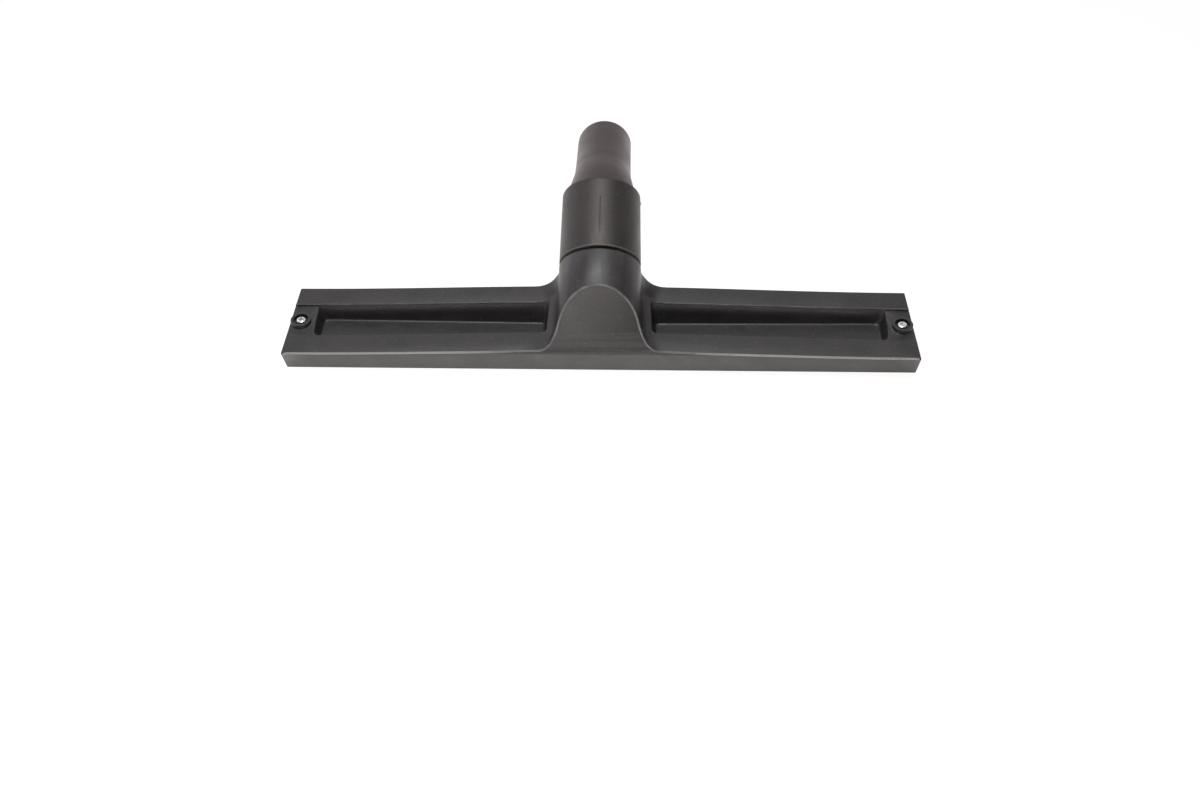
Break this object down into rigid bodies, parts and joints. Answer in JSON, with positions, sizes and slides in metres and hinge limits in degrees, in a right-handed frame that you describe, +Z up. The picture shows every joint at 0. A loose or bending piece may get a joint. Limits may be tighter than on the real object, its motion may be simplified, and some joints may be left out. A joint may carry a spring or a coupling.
{
  "type": "vacuum floor nozzle",
  "caption": "Long, low floor nozzle for a vacuum cleaner, with brush strips along its suction mouth, wheels at its ends and a swivelling bent tube at the rear.",
  "frame": {"origin": "centre of the whole nozzle in plan, on the floor it stands on", "axes": "+X along the head to the right end, +Y to the rear where the tube points, +Z up"},
  "size_m": [0.3998, 0.1818, 0.0913],
  "materials": {
    "moulded_body": "moulded, fine grain",
    "moulded_sleeve": "moulded, fine grain",
    "moulded_nose": "moulded, smooth satin",
    "holder_plastic": "extruded, satin",
    "bristle_nylon": "drawn filaments",
    "ring_plastic": "moulded",
    "wheel_plastic": "moulded",
    "zinc_steel": "zinc plated"
  },
  "bodies": {
    "head": {"nozzle_body": "moulded_body", "swivel_retaining_ring": "ring_plastic", "front_brush_holder": "holder_plastic", "rear_brush_holder": "holder_plastic", "front_bristles": "bristle_nylon", "rear_bristles": "bristle_nylon", "left_wheel_bracket": "moulded_body", "right_wheel_bracket": "moulded_body", "left_wheel_axle": "zinc_steel", "right_wheel_axle": "zinc_steel", "left_bracket_screw": "zinc_steel", "right_bracket_screw": "zinc_steel"},
    "swivel": {"swivel_sleeve": "moulded_sleeve", "nose_tube": "moulded_nose"},
    "left_wheel": {"left_wheel": "wheel_plastic"},
    "right_wheel": {"right_wheel": "wheel_plastic"}
  },
  "joints": [
    {"name": "swivel_turn", "type": "hinge", "parent": "head", "child": "swivel", "pos_m": [0, -0.03908, 0.0499], "axis": [0, 0.9354, 0.3535], "continuous": true},
    {"name": "left_wheel_spin", "type": "hinge", "parent": "head", "child": "left_wheel", "pos_m": [-0.1922, -0.05963, 0.007], "axis": [1, 0, 0], "continuous": true},
    {"name": "right_wheel_spin", "type": "hinge", "parent": "head", "child": "right_wheel", "pos_m": [0.1922, -0.05963, 0.007], "axis": [1, 0, 0], "continuous": true}
  ]
}
